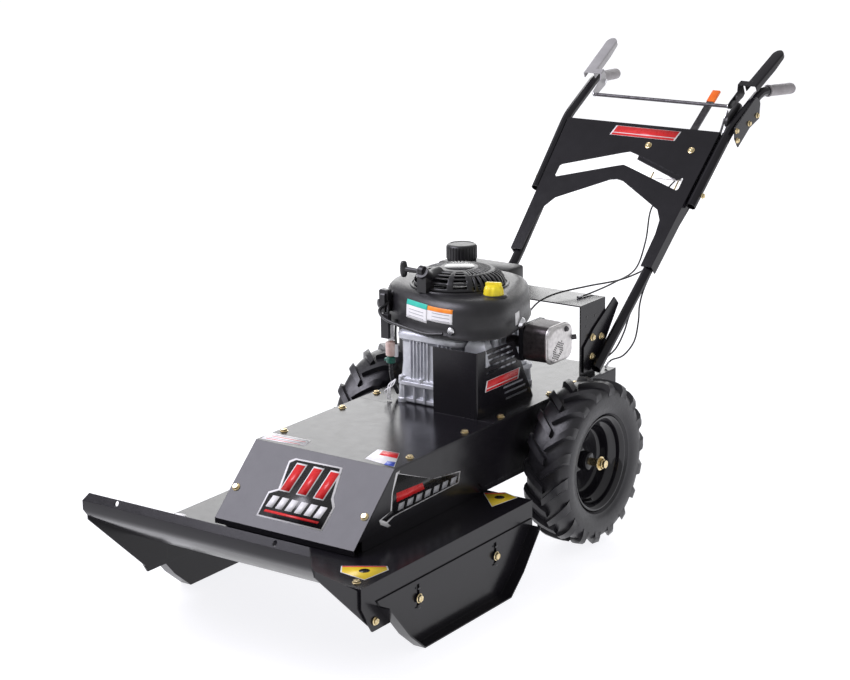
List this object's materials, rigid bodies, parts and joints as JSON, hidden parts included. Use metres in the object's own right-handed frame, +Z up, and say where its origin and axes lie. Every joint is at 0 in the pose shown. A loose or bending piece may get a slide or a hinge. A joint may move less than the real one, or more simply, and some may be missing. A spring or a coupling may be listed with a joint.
{
  "type": "brush mower",
  "caption": "Walk-behind petrol brush mower: an open-fronted cutting deck with a push guard, belt-driven blade and wheels, raised handle and adjustable skid shoes.",
  "frame": {"origin": "on the ground, under the middle of the whole machine", "axes": "+Z up; the machine drives towards -Y and its left side is +X"},
  "size_m": [0.7, 2.2158, 1.0803],
  "materials": {
    "black_paint": "satin black powder coat",
    "cast_aluminium": "sand-cast, bare",
    "black_plastic": "fine moulded texture",
    "bright_steel": "machined or plated steel",
    "zinc": "yellow zinc plate",
    "tyre_rubber": "matt tyre rubber",
    "grip_rubber": "smooth soft rubber",
    "yellow_plastic": "smooth moulded",
    "orange_vinyl": "dipped vinyl",
    "belt_rubber": "matt",
    "cable_jacket": "smooth sheath",
    "galvanised": "dull zinc plate"
  },
  "bodies": {
    "machine": {"air_filter_housing": "black_plastic", "belt_cover": "black_paint", "blade_belt": "belt_rubber", "blade_cable": "cable_jacket", "blower_housing": "black_plastic", "bridge_bracket": "black_paint", "chassis": "black_paint", "control_plate": "black_paint", "deck_shell": "black_paint", "drive_belt": "belt_rubber", "drive_cable": "cable_jacket", "engine_block": "cast_aluminium", "engine_deck": "black_paint", "engine_sump": "cast_aluminium", "front_guard": "black_paint", "fuel_tank": "black_plastic", "grip_left": "grip_rubber", "grip_right": "grip_rubber", "handle_bracket_left": "black_paint", "handle_bracket_right": "black_paint", "handle_panel": "black_paint", "handle_tube_left": "black_paint", "handle_tube_right": "black_paint", "heat_shield": "black_paint", "muffler": "galvanised", "shift_bracket": "galvanised", "shift_cable": "cable_jacket", "spindle_housing": "cast_aluminium", "starter_housing": "black_plastic", "throttle_cable": "cable_jacket", "throttle_quadrant": "black_plastic", "transaxle_housing": "cast_aluminium", "upper_tube_left": "black_paint", "upper_tube_right": "black_paint"},
    "wheel_left": {"tyre_left": "tyre_rubber", "rim_left": "black_paint", "axle_left": "zinc"},
    "wheel_right": {"tyre_right": "tyre_rubber", "rim_right": "black_paint", "axle_right": "zinc"},
    "crank": {"crankshaft": "bright_steel"},
    "cutter": {"spindle_shaft": "bright_steel", "spindle_pulley": "bright_steel", "blade": "bright_steel"},
    "gearbox_input": {"transaxle_pulley": "bright_steel"},
    "blade_tensioner": {"blade_idler_arm": "galvanised"},
    "blade_tensioner_wheel": {"blade_idler_pulley": "bright_steel"},
    "drive_tensioner": {"drive_idler_arm": "galvanised"},
    "drive_tensioner_wheel": {"drive_idler_pulley": "bright_steel"},
    "levers": {"operator_lever_left": "black_paint", "operator_lever_right": "black_paint", "cross_rod": "bright_steel"},
    "throttle_arm": {"throttle_lever": "bright_steel"},
    "gear_lever": {"shift_lever": "bright_steel", "shift_sleeve": "orange_vinyl"},
    "runner_left": {"skid_shoe_left": "black_paint"},
    "runner_right": {"skid_shoe_right": "black_paint"},
    "pull_handle": {"recoil_handle": "black_plastic"},
    "oil_filler_cap": {"oil_cap": "yellow_plastic"},
    "fuel_filler_cap": {"fuel_cap": "black_plastic"}
  },
  "joints": [
    {"name": "wheel_left_spin", "type": "hinge", "parent": "machine", "child": "wheel_left", "pos_m": [0.29, -0.0065, 0.203], "axis": [1, 0, 0], "continuous": true},
    {"name": "wheel_right_spin", "type": "hinge", "parent": "machine", "child": "wheel_right", "pos_m": [-0.29, -0.0065, 0.203], "axis": [1, 0, 0], "continuous": true},
    {"name": "crank_spin", "type": "hinge", "parent": "machine", "child": "crank", "pos_m": [-0.02, -0.0865, 0.2395], "axis": [0, 0, 1], "continuous": true},
    {"name": "cutter_spin", "type": "hinge", "parent": "machine", "child": "cutter", "pos_m": [0, -0.62, 0.2395], "axis": [0, 0, 1], "continuous": true},
    {"name": "gearbox_input_spin", "type": "hinge", "parent": "machine", "child": "gearbox_input", "pos_m": [-0.02, 0.1, 0.291], "axis": [0, 0, 1], "continuous": true},
    {"name": "blade_tensioner_swing", "type": "hinge", "parent": "machine", "child": "blade_tensioner", "pos_m": [0.115, -0.235, 0.2532], "axis": [0, 0, -1], "range_deg": [0, 4.85]},
    {"name": "drive_tensioner_swing", "type": "hinge", "parent": "machine", "child": "drive_tensioner", "pos_m": [0.12, 0.06, 0.3047], "axis": [0, 0, -1], "range_deg": [0, 7.2]},
    {"name": "blade_tensioner_wheel_spin", "type": "hinge", "parent": "blade_tensioner", "child": "blade_tensioner_wheel", "pos_m": [0.079, -0.33, 0.2395], "axis": [0, 0, 1], "continuous": true},
    {"name": "drive_tensioner_wheel_spin", "type": "hinge", "parent": "drive_tensioner", "child": "drive_tensioner_wheel", "pos_m": [0.065, 0, 0.291], "axis": [0, 0, 1], "continuous": true},
    {"name": "lever_squeeze", "type": "hinge", "parent": "machine", "child": "levers", "pos_m": [0, 0.9235, 0.975], "axis": [-1, 0, 0], "range_deg": [0, 24], "stiffness_Nm_per_rad": 4, "springref_deg": -22.92},
    {"name": "throttle_swing", "type": "hinge", "parent": "machine", "child": "throttle_arm", "pos_m": [0.2262, 0.85, 0.9237], "axis": [1, 0, 0], "range_deg": [-14, 14]},
    {"name": "gear_select", "type": "hinge", "parent": "machine", "child": "gear_lever", "pos_m": [0.124, 0.735, 0.785], "axis": [1, 0, 0], "range_deg": [-10, 5]},
    {"name": "runner_left_height", "type": "slide", "parent": "machine", "child": "runner_left", "axis": [0, 0, 1], "range_m": [-0.024, 0.0115]},
    {"name": "runner_right_height", "type": "slide", "parent": "machine", "child": "runner_right", "axis": [0, 0, 1], "range_m": [-0.024, 0.0115]},
    {"name": "starter_pull", "type": "slide", "parent": "machine", "child": "pull_handle", "axis": [-1, 0, 0], "range_m": [0, 0.6], "stiffness_N_per_m": 15, "springref_m": -0.1},
    {"name": "oil_cap_turn", "type": "hinge", "parent": "machine", "child": "oil_filler_cap", "pos_m": [0.115, -0.14, 0.6233], "axis": [0, 0, 1], "range_deg": [0, 90]},
    {"name": "fuel_cap_turn", "type": "hinge", "parent": "machine", "child": "fuel_filler_cap", "pos_m": [-0.183, 0.1615, 0.6125], "axis": [0, 0, 1], "range_deg": [0, 360]}
  ],
  "couplings": [
    {"joint": "cutter_spin", "follows": "crank_spin", "ratio": 0.8065},
    {"joint": "gearbox_input_spin", "follows": "crank_spin", "ratio": 0.5143},
    {"joint": "blade_tensioner_swing", "follows": "lever_squeeze", "ratio": 0.2},
    {"joint": "drive_tensioner_swing", "follows": "lever_squeeze", "ratio": 0.29}
  ]
}
